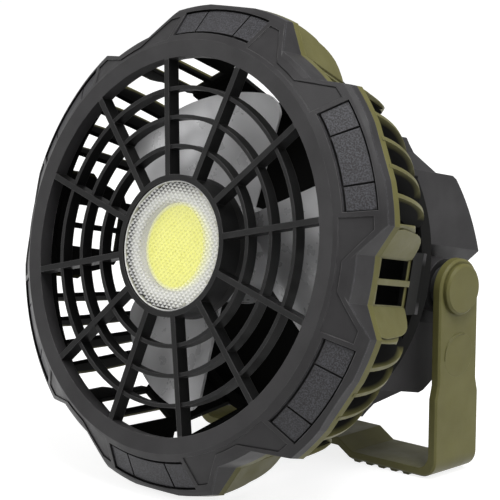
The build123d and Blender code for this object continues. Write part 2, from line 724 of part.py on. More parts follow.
def rear_housing():
    """Rear shell: rim with tongues, deep block with bowed rear, pivot bosses and the bulkhead."""
    body = extrude(block_profile(), amount=BLOCK_HALF_W, both=True)
    body &= sunk(extrude(block_section(), amount=BLOCK_BACK - CAGE_BACK), BLOCK_BACK)
    body += disc(HOUSING_R, -CAGE_BACK - HOUSING_RIM_D - HOUSING_WALL, -CAGE_BACK)
    body = body - side_sink(1) - side_sink(-1)
    body += Pos(0, 0, -PIVOT_BACK) * Rot(Y=90) * Cylinder(BOSS_R, 2 * BOSS_END)
    body += [tongue(angle) for angle in RECESS_ANGLES]
    body -= disc(HOUSING_R - HOUSING_WALL, -BULKHEAD_D, -CAGE_BACK)
    body -= battery_space()
    body -= disc(MOTOR_R + 1, -STORE_FRONT, -BULKHEAD_D)
    body -= Pos(0, 0, -PIVOT_BACK) * Rot(Y=90) * Cylinder(BOLT_R + SEAT_FIT, 2 * BOSS_END)
    body -= panel_slab(PANEL_LEDGE, BLOCK_BACK)
    return body - panel_slab(0, PANEL_T)


def battery_space():
    """Room inside the block for the cells, the board and the pivot nuts."""
    outline = offset(block_profile(), amount=-HOUSING_WALL, kind=Kind.INTERSECTION)
    room = extrude(outline, amount=STORE_HALF_W, both=True)
    front_part = box_between(STORE_HALF_W, STORE_HALF_H, -BLOCK_TOP_D, -STORE_FRONT)
    reach = box_between(STORE_HALF_W, STORE_HALF_H, -PANEL_FRONT + PANEL_LEDGE, -STORE_FRONT)
    return (room & reach) + front_part


def box_between(half_w, half_h, low, high):
    """Box centred on the axis, between two heights."""
    return Pos(0, 0, (low + high) / 2) * Box(2 * half_w, 2 * half_h, high - low)


def panel_slab(inset, thickness):
    """Plate of the rear panel's outline, drawn in by an inset, from the rear face forwards."""
    return box_between(PANEL_HALF_W - inset, PANEL_HALF_H - inset, -BLOCK_BACK, -BLOCK_BACK + thickness)


def flap_pocket(clearance):
    """Room for the port cover in the rear panel's outer face."""
    return Pos(0, FLAP_Y, 0) * box_between(
        FLAP_W / 2 + clearance, FLAP_H / 2 + clearance, -BLOCK_BACK, -BLOCK_BACK + FLAP_T
    )


def back_panel():
    """Panel that closes the block, with the buttons, charge window and ports."""
    panel = panel_slab(SEAT_FIT, PANEL_T)
    for x in (-BUTTON_X, BUTTON_X):
        panel -= Pos(x, 0, -BLOCK_BACK) * Cylinder(BUTTON_R + SLIDE_FIT, 3 * PANEL_T)
    panel -= Pos(0, GAUGE_Y, -BLOCK_BACK) * Box(GAUGE_W + 2 * SEAT_FIT, GAUGE_H + 2 * SEAT_FIT, 3 * PANEL_T)
    panel -= flap_pocket(SLIDE_FIT)
    for x, size in ((-USB_X, USB_C), (USB_X, USB_A)):
        width, height = (side + 2 * SEAT_FIT for side in size)
        panel -= Pos(x, FLAP_Y, -BLOCK_BACK) * Box(width, height, 3 * PANEL_T)
    return panel


def push_button(x):
    """Round push button with a retaining flange behind the panel."""
    flange_back = -PANEL_FRONT + SEAT_FIT
    crown = disc(BUTTON_R, -BLOCK_BACK - BUTTON_PROUD, flange_back)
    crown = chamfer(crown.edges().group_by(Axis.Z)[0], BUTTON_PROUD / 3)
    flange = disc(BUTTON_R + BUTTON_FLANGE, flange_back, flange_back + BUTTON_FLANGE_T)
    return Pos(x, 0) * (crown + flange)


def charge_window():
    """Clear strip over the charge lights."""
    return Pos(0, GAUGE_Y) * box_between(GAUGE_W / 2, GAUGE_H / 2, -BLOCK_BACK, -PANEL_FRONT)


def control_board():
    """Circuit board with a switch under each button."""
    board = box_between(BOARD_W / 2, BOARD_H / 2, -BOARD_BACK, -BOARD_BACK + BOARD_T)
    switch_h = BOARD_SETBACK - BUTTON_FLANGE_T - BUTTON_TRAVEL - 3 * SEAT_FIT
    for x in (-BUTTON_X, BUTTON_X):
        board += Pos(x, 0) * box_between(SWITCH_HALF, SWITCH_HALF, -BOARD_BACK - switch_h, -BOARD_BACK)
    return board


def port_socket(x, size):
    """Open metal socket standing on the board and ending in the rear panel."""
    mouth = -PANEL_FRONT - PANEL_T + FLAP_T + SEAT_FIT
    shell = box_between(size[0] / 2, size[1] / 2, mouth, -BOARD_BACK)
    hollow = box_between(
        size[0] / 2 - SOCKET_WALL, size[1] / 2 - SOCKET_WALL, mouth, -BOARD_BACK - SOCKET_WALL
    )
    tongue = box_between(size[0] / 3, SOCKET_WALL, mouth + 2 * SOCKET_WALL, -BOARD_BACK)
    return Pos(x, FLAP_Y) * (shell - hollow + tongue)


def port_cover():
    """Soft cover over the ports, with a hinge roll along its lower edge and a finger lip."""
    roll_r = FLAP_T / 2
    roll_y = FLAP_Y - FLAP_H / 2 + roll_r
    roll = Pos(0, roll_y, -BLOCK_BACK + roll_r) * Rot(Y=90) * Cylinder(roll_r, FLAP_W)
    corner = Pos(0, roll_y - roll_r, -BLOCK_BACK + roll_r) * Box(2 * FLAP_W, FLAP_T, 2 * FLAP_T)
    plate = flap_pocket(0) - corner
    lip = Pos(0, FLAP_Y + FLAP_H / 2 - roll_r, -BLOCK_BACK) * Box(FLAP_W / 4, FLAP_T, FLAP_T)
    return plate + roll + lip


def cell_spots():
    """Places of the cells lying across the block, one above another."""
    pitch = 2 * CELL_R + CELL_GAP
    return [Pos(0, (i - (CELLS - 1) / 2) * pitch, -CELL_D) * Rot(Y=90) for i in range(CELLS)]


def battery_cells():
    """Round cells lying across the block."""
    return [spot * Cylinder(CELL_R, CELL_L) for spot in cell_spots()]


def battery_cradle():
    """Tray that holds the cells, with four posts that carry the board."""
    half_h = STORE_HALF_H - SEAT_FIT
    back = -CELL_D - CELL_R - CRADLE_T
    tray = box_between(CRADLE_HALF_W, half_h, back, -CELL_D)
    for spot in cell_spots():
        tray -= spot * Cylinder(CELL_R + SEAT_FIT, 3 * CELL_L)
    post_x = CRADLE_HALF_W - POST_W / 2
    post_y = (BOARD_H - POST_W) / 2
    for x in (-post_x, post_x):
        for y in (-post_y, post_y):
            tray += Pos(x, y) * box_between(POST_W / 2, POST_W / 2, -BOARD_BACK + BOARD_T, back)
    return tray


# ---------------------------------------------------------------- tilt joint and stand
def sides(make):
    """The same piece on both sides, mirrored."""
    right = make()
    return [right, mirror(right, about=Plane.YZ)]


def pivot_washers():
    """Friction washers between the bosses and the arms."""
    washer = tube(WASHER_R, BOLT_R + SEAT_FIT, BOSS_END, ARM_GAP - SEAT_FIT)
    return sides(lambda: Pos(0, 0, PIVOT_H) * Rot(Y=90) * washer)


def pivot_bolts():
    """Bolts through the arms into the bosses."""
    head_face = ARM_GAP + ARM_T - BOLT_HEAD_T - SEAT_FIT
    bolt = disc(BOLT_R, STORE_HALF_W - NUT_T - BOLT_REACH, head_face)
    bolt += disc(BOLT_HEAD_R, head_face, head_face + BOLT_HEAD_T)
    return sides(lambda: Pos(0, 0, PIVOT_H) * Rot(Y=90) * bolt)


def pivot_nuts():
    """Six-sided nuts inside the housing."""
    outline = RegularPolygon(NUT_FLATS / 2, 6, major_radius=False) - Circle(BOLT_R + SHAFT_FIT)
    nut = Pos(0, 0, STORE_HALF_W - NUT_T) * extrude(outline, amount=NUT_T)
    return sides(lambda: Pos(0, 0, PIVOT_H) * Rot(Y=90) * nut)


def pivot_caps():
    """Round caps over the bolt heads."""
    cap = disc(CAP_R, 0, CAP_PROUD)
    cap = chamfer(cap.edges().group_by(Axis.Z)[-1], CAP_EDGE)
    return sides(lambda: Pos(ARM_GAP + ARM_T, 0, PIVOT_H) * Rot(Y=90) * cap)


def arm_outline():
    """Side view of an arm: round top, wider foot."""
    half = ARM_W / 2
    foot = FOOT_W / 2
    low = FOOT_FLARE_TOP - FOOT_FLARE_H
    front = [(-half, PIVOT_H), (-half, FOOT_FLARE_TOP), (-foot, low), (-foot, 0)]
    path = Polyline(*front, *[(-y, z) for y, z in reversed(front)])
    path += ThreePointArc((half, PIVOT_H), (0, PIVOT_H + half), (-half, PIVOT_H))
    return make_face(Plane.YZ * path)


def strap():
    """Front view of the stand: two arms and a crossbar with a raised middle."""
    outer_x = ARM_GAP + ARM_T
    top = PIVOT_H + ARM_W
    foot = TREAD_H
    inner_foot = foot + CROSSBAR_T
    raised = foot + RAISE_H
    ramp = RAISE_HALF + RAISE_RAMP
    lower = [(-outer_x, top), (-outer_x, foot), (-ramp, foot), (-RAISE_HALF, raised), (RAISE_HALF, raised),
             (ramp, foot), (outer_x, foot), (outer_x, top)]
    upper = [(ARM_GAP, top), (ARM_GAP, inner_foot), (ramp, inner_foot), (RAISE_HALF, raised + CROSSBAR_T),
             (-RAISE_HALF, raised + CROSSBAR_T), (-ramp, inner_foot), (-ARM_GAP, inner_foot), (-ARM_GAP, top)]
    face = make_face(Plane.XZ * Polyline(*lower, *upper, close=True))
    return extrude(face, amount=FOOT_W, both=True)


def bend_edges(frame, x):
    """Lengthwise edges of the two bends at a half width."""
    low = TREAD_H + CROSSBAR_T + SEAT_FIT
    return [
        edge
        for edge in frame.edges().filter_by(Axis.Y)
        if abs(abs(edge.center().X) - x) < SEAT_FIT and edge.center().Z < low
    ]


def thumb_dimple(side):
    """Shallow round scoop in an arm's outer face, tilted so that its lower rear edge runs out level."""
    cutter = Pos(0, 0, DIMPLE_D) * Cylinder(DIMPLE_R, 4 * DIMPLE_D)
    tilt = degrees(atan(DIMPLE_D / DIMPLE_R / 2))
    cutter = Rot(X=-tilt, Y=tilt) * cutter
    return Pos(side * (ARM_GAP + ARM_T), 0, PIVOT_H - DIMPLE_DROP) * Rot(Y=side * 90) * cutter


def stand():
    """U-shaped stand: arms, crossbar, anti-slip treads, bolt seats and a finger dimple."""
    outer_x = ARM_GAP + ARM_T
    frame = fillet(bend_edges(strap(), outer_x), BEND_R)
    frame = fillet(bend_edges(frame, ARM_GAP), BEND_INNER_R)
    frame &= extrude(arm_outline(), amount=outer_x, both=True)
    rims = [edge for edge in frame.edges() if abs(abs(edge.center().X) - outer_x) < SEAT_FIT]
    frame = chamfer(rims, ARM_EDGE)
    for side in (-1, 1):
        start = RAISE_HALF + RAISE_RAMP + TREAD_W / 2 + TREAD_START
        for index in range(TREADS):
            x = side * (start + index * TREAD_PITCH)
            tread = Pos(x, 0, TREAD_H / 2 + TREAD_ROOT / 2)
            tread *= Box(TREAD_W, FOOT_W - 2 * ARM_EDGE, TREAD_H + TREAD_ROOT)
            frame += chamfer(tread.edges().filter_by(Axis.Y).group_by(Axis.Z)[0], TREAD_H * 0.8)
    axis_x = Pos(0, 0, PIVOT_H) * Rot(Y=90)
    frame -= axis_x * Cylinder(BOLT_R + SHAFT_FIT, 2 * outer_x + 2)
    for side in (-1, 1):
        seat_depth = BOLT_HEAD_T + SEAT_FIT
        seat = Pos(side * outer_x, 0, PIVOT_H) * Rot(Y=90) * Cylinder(BOLT_HEAD_R + SLIDE_FIT, 2 * seat_depth)
        frame = frame - seat - thumb_dimple(side)
    return frame


# ---------------------------------------------------------------- write the parts
def placed(shape):
    """Move one solid or a group of solids from the head's frame to the floor's frame."""
    if isinstance(shape, list):
        return [HEAD * piece for piece in shape]
    return HEAD * shape


def save(name, shape):
    """Write one node's solids."""
    pieces = shape if isinstance(shape, list) else [shape]
    solids = [solid for piece in pieces for solid in piece.solids()]
    export_step(Compound(children=solids) if len(solids) > 1 else solids[0], f"parts/{name}.step")


HEAD_PARTS = {
    "front_grille": front_grille,
    "lamp_lens": lamp_lens,
    "lamp_reflector": lamp_reflector,
    "led_board": led_board,
    "led_phosphor": led_phosphor,
    "lamp_cup": lamp_cup,
    "louvre_cage": louvre_cage,
    "fan_rotor": fan_rotor,
    "motor_shaft": motor_shaft,
    "motor_bearings": motor_bearings,
    "motor_can": motor_can,
    "motor_mount": motor_mount,
    "rear_housing": rear_housing,
    "back_panel": back_panel,
    "fan_button": lambda: push_button(-BUTTON_X),
    "light_button": lambda: push_button(BUTTON_X),
    "charge_window": charge_window,
    "control_board": control_board,
    "usb_c_socket": lambda: port_socket(-USB_X, USB_C),
    "usb_a_socket": lambda: port_socket(USB_X, USB_A),
    "port_cover": port_cover,
    "battery_cells": battery_cells,
    "battery_cradle": battery_cradle,
}
STAND_PARTS = {
    "pivot_washers": pivot_washers,
    "pivot_bolts": pivot_bolts,
    "pivot_nuts": pivot_nuts,
    "pivot_caps": pivot_caps,
    "stand": stand,
}

os.makedirs("parts", exist_ok=True)
for node, make_part in HEAD_PARTS.items():
    save(node, placed(make_part()))
for node, make_part in STAND_PARTS.items():
    save(node, make_part())
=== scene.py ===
import json
from math import cos, pi, radians, sin, sqrt

import bmesh
import bpy
from mathutils import Matrix, Vector


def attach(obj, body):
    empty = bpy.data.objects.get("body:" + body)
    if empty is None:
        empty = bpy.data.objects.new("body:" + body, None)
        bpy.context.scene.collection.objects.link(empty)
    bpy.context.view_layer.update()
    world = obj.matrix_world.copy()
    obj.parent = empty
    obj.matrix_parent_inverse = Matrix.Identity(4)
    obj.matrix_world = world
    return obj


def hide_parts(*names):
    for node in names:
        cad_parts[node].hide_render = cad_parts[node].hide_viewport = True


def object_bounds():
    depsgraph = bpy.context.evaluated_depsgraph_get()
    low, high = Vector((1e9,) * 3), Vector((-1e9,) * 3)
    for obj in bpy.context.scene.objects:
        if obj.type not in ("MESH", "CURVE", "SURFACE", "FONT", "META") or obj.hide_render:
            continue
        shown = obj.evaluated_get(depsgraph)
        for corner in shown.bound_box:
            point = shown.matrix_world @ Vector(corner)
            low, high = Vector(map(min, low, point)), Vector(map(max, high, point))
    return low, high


# Looks of a portable camping fan. Metres, +Z up, the fan blows towards -Y.
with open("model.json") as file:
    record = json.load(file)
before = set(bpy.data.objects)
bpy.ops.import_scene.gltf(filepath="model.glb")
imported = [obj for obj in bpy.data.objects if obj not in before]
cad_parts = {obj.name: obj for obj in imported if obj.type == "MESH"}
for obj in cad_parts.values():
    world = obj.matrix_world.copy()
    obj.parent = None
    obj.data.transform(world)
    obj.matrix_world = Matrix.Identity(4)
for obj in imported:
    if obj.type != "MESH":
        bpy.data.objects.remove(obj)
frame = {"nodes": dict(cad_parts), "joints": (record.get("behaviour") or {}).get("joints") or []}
CAD_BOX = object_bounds()
NODES = frame["nodes"]
JOINTS = {joint["name"]: joint for joint in frame["joints"]}
MM = 0.001

# ---------------------------------------------------------------- the head's own frame
# x to the right, y up and z out of the grille, 0 on the fan's axis at the front lip.
RIGHT = Vector((1, 0, 0))
TILT_POINT = Vector(JOINTS["head_tilt"]["pos_m"])
AXIS = Vector(JOINTS["fan_spin"]["axis"]).normalized()
UP = AXIS.cross(RIGHT)
PIVOT_BACK = 105.5 * MM     # tilt axis behind the front lip
LIP = TILT_POINT + AXIS * PIVOT_BACK
HEAD = Matrix.Translation(LIP) @ Matrix((RIGHT, UP, AXIS)).transposed().to_4x4()

# Places on the head in mm: depths (D) behind the front lip, radii (R) from the fan's axis.
BAND_R = 87.0               # the front face slopes back outside this radius
FACE_SLOPE = 0.779          # depth gained per mm of radius along the pads
PAD_HIGH = 0.75             # the pads' surfaces lie between these depths under the sloping face
PAD_LOW = 1.2
PAD_R = 89.5                # and outside this radius
OPENING_R = 79.4            # the grille's spokes and rib rings lie inside this radius
TONGUE_D = 76.3             # the housing's tongues lie in front of this depth; all in front of it is painted in near-black shade
RIM_D = 83.0                # rear end and outer radius of the part of the housing's rim painted in near-black shade
RIM_R = 72.4
FLANGE_D = 21.4             # rear face of the cage's flange, where fins and recess panels start
FIN_R = 103.6               # outer edge of the fins at the flange
FIN_BOW = 10.64             # how fast that edge bows inwards, per metre
FIN_SKIN = 1.8              # the fins stay olive down to this depth under the edge, then fade into painted shade
FIN_SHADE_FROM = 4.6              # and are painted in near-black shade from this one on
CAGE_INNER_R = 80.0         # painted in near-black shade inside this radius between the recesses
CAGE_FADE = 7.0             # and less so over this width outside it
PANEL_R = 93.9              # face of a recess panel at the flange
PANEL_LEAN = 0.266          # how far it leans in per mm of depth
PANEL_SKIN = 0.9            # the windows' walls are painted in near-black shade below this depth under the panel's face
RECESSES = 6
RECESS_STEP = 2 * pi / RECESSES
RECESS_HALF = radians(14)   # half angle of a recess with its flanks
LENS_R = 27.5
LENS_LOW = -0.6             # rear and front face of the lens, as z
LENS_HIGH = 1.2
PRISM_FIELD_R = 26.8        # the lens's prisms lie inside this radius
GLOW_R = 17.5               # the clearest part of the lens, over the light-giving disc
HAZE_R = 20                 # from this radius on it is haziest
GREY_END_R = 21             # from this radius on its painted grey facet shade is faintest
DARK_R = 21.5               # its painted dark reflection of the black wall starts here and is darkest DARK_FADE further on
DARK_FADE = 3.0
DARK_X = 4                  # it fades between these distances to the right of the axis
DARK_END_X = 14
GEL_FADE_R = 16.6           # the light-giving gel turns paler between these radii
GEL_R = 18.6


# ---------------------------------------------------------------- shader helpers
class Shader:
    """Small builder for one material's node tree. Lengths given to it are in mm."""

    def __init__(self, name):
        self.material = bpy.data.materials.new(name)
        self.material.use_nodes = True
        self.tree = self.material.node_tree
        self.surface = self.tree.nodes["Principled BSDF"]
        self.output = self.tree.nodes["Material Output"]
        self.place = self.add("ShaderNodeTexCoord").outputs["Object"]

    def add(self, kind, **settings):
        node = self.tree.nodes.new(kind)
        for name, value in settings.items():
            setattr(node, name, value)
        return node

    def join(self, source, target):
        self.tree.links.new(source, target)

    def feed(self, socket, value):
        """Set an input to a value or link it to an output."""
        if isinstance(value, bpy.types.NodeSocket):
            self.join(value, socket)
        else:
            socket.default_value = value

    def source(self, name):
        """The output that feeds one of the surface's inputs so far."""
        return self.surface.inputs[name].links[0].from_socket

    def noise(self, size, detail=3.0, place=None):
        """Noise whose spots are about size mm across, 0 to 1."""
        node = self.add("ShaderNodeTexNoise")
        node.inputs["Scale"].default_value = 1 / (size * MM)
        node.inputs["Detail"].default_value = detail
        node.inputs["Roughness"].default_value = 0.55
        self.join(place or self.place, node.inputs["Vector"])
        return node.outputs["Fac"]

    def varied(self, size, low, high, detail=3.0):
        """A value that wanders between low and high, in spots about size mm across."""
        return self.span(self.noise(size, detail), 0.3, 0.7, low, high)

    def cells(self, size):
        """Distance to the nearest of many scattered points, about size mm apart."""
        node = self.add("ShaderNodeTexVoronoi", feature="F1")
        node.inputs["Scale"].default_value = 1 / (size * MM)
        self.join(self.place, node.inputs["Vector"])
        return node.outputs["Distance"]

    def math(self, operation, a, b=0.0, clamp=False):
        node = self.add("ShaderNodeMath", operation=operation, use_clamp=clamp)
        self.feed(node.inputs[0], a)
        self.feed(node.inputs[1], b)
        return node.outputs[0]

    def product(self, first, *others):
        """Masks multiplied: 1 where all are 1."""
        for other in others:
            first = self.math("MULTIPLY", first, other)
        return first

    def largest(self, first, *others):
        """The greatest of several masks: 1 where any is 1."""
        for other in others:
            first = self.math("MAXIMUM", first, other)
        return first

    def vector(self, operation, a, b=None):
        node = self.add("ShaderNodeVectorMath", operation=operation)
        self.feed(node.inputs[0], a)
        if b is not None:
            self.feed(node.inputs[1], b)
        return node.outputs["Value" if operation == "DOT_PRODUCT" else "Vector"]

    def span(self, value, low, high, out_low=0.0, out_high=1.0, smooth=False):
        """Map a range of a value to another range, clamped."""
        node = self.add("ShaderNodeMapRange", interpolation_type="SMOOTHSTEP" if smooth else "LINEAR")
        self.feed(node.inputs["Value"], value)
        node.inputs["From Min"].default_value = low
        node.inputs["From Max"].default_value = high
        node.inputs["To Min"].default_value = out_low
        node.inputs["To Max"].default_value = out_high
        return node.outputs["Result"]

    def past(self, length, start, blur):
        """0 up to a start in mm, 1 from blur mm further on."""
        return self.span(length, start * MM, (start + blur) * MM)

    def before(self, length, start, blur):
        """1 up to a start in mm, 0 from blur mm further on."""
        return self.span(length, start * MM, (start + blur) * MM, 1.0, 0.0)

    def mix(self, share, a, b):
        node = self.add("ShaderNodeMix", data_type="RGBA")
        self.feed(node.inputs["Factor"], share)
        self.feed(node.inputs["A"], a)
        self.feed(node.inputs["B"], b)
        return node.outputs["Result"]

    def facing(self):
        """The direction that the surface faces."""
        return self.add("ShaderNodeNewGeometry").outputs["Normal"]

    def edges(self, radius):
        """Rounded normal for sharp edges, and a mask that is 1 on them."""
        rounded = self.add("ShaderNodeBevel", samples=6)
        rounded.inputs["Radius"].default_value = radius * MM
        alike = self.vector("DOT_PRODUCT", rounded.outputs["Normal"], self.facing())
        return rounded.outputs["Normal"], self.span(alike, 0.995, 0.90)

    def across_head(self):
        """Distances from the fan's axis to the right and up, in metres."""
        local = self.vector("SUBTRACT", self.place, LIP)
        return self.vector("DOT_PRODUCT", local, RIGHT), self.vector("DOT_PRODUCT", local, UP)

    def head_place(self):
        """Depth behind the lip and distance from the fan's axis, in metres."""
        local = self.vector("SUBTRACT", self.place, LIP)
        depth = self.vector("DOT_PRODUCT", local, -AXIS)
        right, up = self.across_head()
        square = self.math("ADD", self.math("MULTIPLY", right, right), self.math("MULTIPLY", up, up))
        return depth, self.math("SQRT", square)

    def recess_turn(self):
        """Angle from the middle of the nearest recess."""
        right, up = self.across_head()
        steps = self.math("DIVIDE", self.math("ARCTAN2", up, right), RECESS_STEP)
        positive = self.math("ADD", steps, RECESSES + 0.5)
        share = self.math("FRACT", positive)
        off_middle = self.math("ABSOLUTE", self.math("SUBTRACT", share, 0.5))
        return self.math("MULTIPLY", off_middle, RECESS_STEP)

    def outward(self):
        """1 where a surface looks away from the fan's axis, -1 where it looks at it."""
        local = self.vector("SUBTRACT", self.place, LIP)
        lift = self.vector("PROJECT", local, AXIS)
        spread = self.vector("NORMALIZE", self.vector("SUBTRACT", local, lift))
        return self.vector("DOT_PRODUCT", spread, self.facing())

    def bump(self, height, distance, strength, normal=None):
        node = self.add("ShaderNodeBump")
        node.inputs["Strength"].default_value = strength
        node.inputs["Distance"].default_value = distance * MM
        self.join(height, node.inputs["Height"])
        if normal is not None:
            self.join(normal, node.inputs["Normal"])
        return node.outputs["Normal"]

    def set(self, **values):
        """Set or link the surface's inputs by name."""
        for name, value in values.items():
            self.feed(self.surface.inputs[name.replace("_", " ").title()], value)

    def level(self, name, value):
        """Set one of the surface's inputs, by its full name, to a number."""
        self.surface.inputs[name].default_value = value


def rgb(red, green, blue):
    """Linear colour, opaque, from display values of 0 to 255."""
    def linear(level):
        share = level / 255
        return share / 12.92 if share <= 0.04045 else ((share + 0.055) / 1.055) ** 2.4

    return (linear(red), linear(green), linear(blue), 1.0)


# ---------------------------------------------------------------- materials
BLACK = rgb(45, 44, 45)
BLACK_PALE = rgb(57, 56, 57)
# Paler tone of scuffed edges, also used as a painted edge highlight.
BLACK_WEAR_AND_HIGHLIGHT = rgb(128, 127, 127)
PAD = rgb(76, 76, 80)
# Darker painted reflection on the spokes and rib rings.
SPOKE_SHADE = rgb(10, 10, 10)
OLIVE = rgb(93, 90, 51)
OLIVE_PALE = rgb(106, 103, 63)
# Paler tone of scuffed edges, also used as a painted edge highlight.
OLIVE_WEAR_AND_HIGHLIGHT = rgb(142, 140, 98)
# Near-black colour for painted shade.
SHADE_INK = rgb(13, 13, 12)
BUTTON = rgb(52, 52, 53)
BUTTON_PALE = rgb(66, 66, 67)
SYMBOL = rgb(186, 186, 184)
SYMBOL_PALE = rgb(206, 206, 204)
SOCKET = rgb(176, 176, 178)
SOCKET_PALE = rgb(206, 206, 208)
ZINC = rgb(160, 160, 158)
ZINC_PALE = rgb(196, 196, 194)


def moulded(name, colour, pale, rough=0.42, grain=0.5, depth=0.02, edge=0.45, gloss=0.2, wear_and_highlight=None):
    """Moulded plastic: fine spark-eroded grain, faint flow marks, dust-pale patches and rounded edges, made
    paler partly by real scuffing and partly as a painted edge highlight.

    The grain's size and depth and the edges' radius are in mm.
    """
    s = Shader(name)
    normal, rim = s.edges(edge)
    patches = s.noise(22, 4)
    speckle = s.noise(grain, 2)
    tone = s.mix(s.span(patches, 0.35, 0.75), colour, pale)
    tone = s.mix(s.span(speckle, 0.45, 0.8, 0.0, 0.35), tone, pale)
    # Paler edges: partly real scuffing, partly a painted highlight.
    scuffs_and_highlight = s.product(rim, s.span(s.noise(6, 5), 0.35, 0.7), 0.5)
    tone = s.mix(scuffs_and_highlight, tone, wear_and_highlight or pale)
    s.set(base_color=tone, roughness=s.varied(9, rough - 0.06, rough + 0.08, 4))
    s.level("Specular IOR Level", gloss)
    flow = s.bump(s.noise(14, 2), 0.25, 0.35, normal)
    s.set(normal=s.bump(speckle, depth, 0.8, flow))
    return s


def painted_crevice_shade(s, reach, least):
    """Painted shade: darken the colour where surfaces lie within reach mm of each other, down to a least
    share of it.
    """
    # The shade is painted from ambient occlusion.
    near = s.add("ShaderNodeAmbientOcclusion", samples=6)
    near.inputs["Distance"].default_value = reach * MM
    colour = s.source("Base Color")
    open_share = s.span(near.outputs["AO"], 0.25, 0.8)
    s.set(base_color=s.mix(open_share, s.mix(1 - least, colour, SHADE_INK), colour))
    return s


def darkened(s, mask, tone):
    """Blend the surface's colour to a darker one where a mask is 1."""
    s.set(base_color=s.mix(mask, s.source("Base Color"), tone))
    return s


def painted_deep_shade(s, mask):
    """Painted near-black shade, wholly matt, where a mask is 1, so that it stays dark at grazing angles."""
    darkened(s, mask, SHADE_INK)
    rough = s.source("Roughness")
    s.set(roughness=s.math("ADD", rough, s.product(s.math("SUBTRACT", 1.0, rough), mask)))
    return s


def black_plastic():
    """Grained black front moulding with sparkling pads; the spokes and rib rings are painted darker as a
    reflection, their edges left paler as a painted highlight, and closely meeting surfaces get painted shade.
    """
    s = moulded("black_plastic_grained", BLACK, BLACK_PALE, rough=0.42, depth=0.035, wear_and_highlight=BLACK_WEAR_AND_HIGHLIGHT)
    depth, radius = s.head_place()
    face = s.math("MULTIPLY", s.math("SUBTRACT", radius, BAND_R * MM), FACE_SLOPE)
    under_face = s.math("SUBTRACT", depth, face)
    pads = s.product(s.past(under_face, PAD_HIGH, 0.1), s.before(under_face, PAD_LOW, 0.1))
    pads = s.product(pads, s.past(radius, PAD_R, 0.5))
    sparkle = s.span(s.noise(0.6, 2), 0.42, 0.62)
    darkened(s, s.product(pads, sparkle), PAD)
    # Painted darker reflection on spokes and rib rings, kept off their edges, which stay paler as a painted
    # highlight.
    not_edges = s.math("SUBTRACT", 1.0, s.math("MULTIPLY", s.edges(0.5)[1], 0.8))
    darkened(s, s.product(s.before(radius, OPENING_R, 0.4), not_edges), SPOKE_SHADE)
    return painted_crevice_shade(s, 2.2, 0.25)


def housing_plastic():
    """Grained black plastic, painted in near-black matt shade on the tongues and the rim between cage and
    block, with painted shade where surfaces meet closely.
    """
    s = moulded("housing_plastic_grained", BLACK, BLACK_PALE, rough=0.46, depth=0.03, wear_and_highlight=BLACK_WEAR_AND_HIGHLIGHT)
    depth, radius = s.head_place()
    # Painted shade on the tongues and the rim, which lie in shadow.
    tongues = s.before(depth, TONGUE_D, 0.5)
    rim = s.product(s.before(depth, RIM_D, 0.4), s.before(radius, RIM_R, 0.4))
    return painted_crevice_shade(painted_deep_shade(s, s.largest(tongues, rim)), 9, 0.3)


def olive_plastic():
    """Olive flange, fins and recess panels; what looks inwards or lies deep inside is painted in near-black
    matt shade, and closely meeting surfaces get painted shade too.
    """
    s = moulded("olive_plastic_grained", OLIVE, OLIVE_PALE, rough=0.46, wear_and_highlight=OLIVE_WEAR_AND_HIGHLIGHT)
    depth, radius = s.head_place()
    behind = s.math("SUBTRACT", depth, FLANGE_D * MM)
    turn = s.recess_turn()
    recess = s.math("LESS_THAN", turn, RECESS_HALF)
    fins = s.math("SUBTRACT", 1.0, recess)
    fin_edge = s.math("SUBTRACT", FIN_R * MM, s.product(behind, behind, FIN_BOW))
    # Painted shade on the cage's hidden inner parts, which lie in shadow.
    buried = s.past(s.math("SUBTRACT", fin_edge, radius), FIN_SKIN, FIN_SHADE_FROM - FIN_SKIN)
    inside = s.product(buried, fins, s.past(depth, FLANGE_D + 0.1, 1.0))
    inwards = s.product(s.span(s.outward(), -0.45, -0.6), s.largest(buried, fins))
    panel = s.math("SUBTRACT", PANEL_R * MM, s.math("MULTIPLY", behind, PANEL_LEAN))
    sunk = s.math("SUBTRACT", panel, s.product(radius, s.math("COSINE", turn)))
    window_wall_shade = s.product(recess, s.past(sunk, PANEL_SKIN, 0.4))
    deep = s.product(s.before(radius, CAGE_INNER_R, CAGE_FADE), fins)
    return painted_crevice_shade(painted_deep_shade(s, s.largest(inside, inwards, window_wall_shade, deep)), 4, 0.35)


def olive_moulding(name, rough):
    """Plain olive plastic of the stand and its caps, with painted shade where its surfaces meet closely."""
    return painted_crevice_shade(moulded(name, OLIVE, OLIVE_PALE, rough, wear_and_highlight=OLIVE_WEAR_AND_HIGHLIGHT), 2.5, 0.4)


def rotor_plastic():
    """Silver-grey satin plastic with soft darker stripes, painted in as reflections."""
    silver, silver_pale = rgb(214, 214, 215), rgb(230, 230, 232)
    s = moulded("rotor_plastic_satin", silver, silver_pale, 0.3, depth=0.004, edge=0.12, gloss=0.5)
    # Painted reflections: soft darker stripes that turn with the rotor.
    reflection_bands = s.span(s.noise(34, 1), 0.38, 0.62, smooth=True)
    darkened(s, s.product(reflection_bands, 0.6), rgb(138, 138, 139))
    s.level("Metallic", 0.3)
    return s


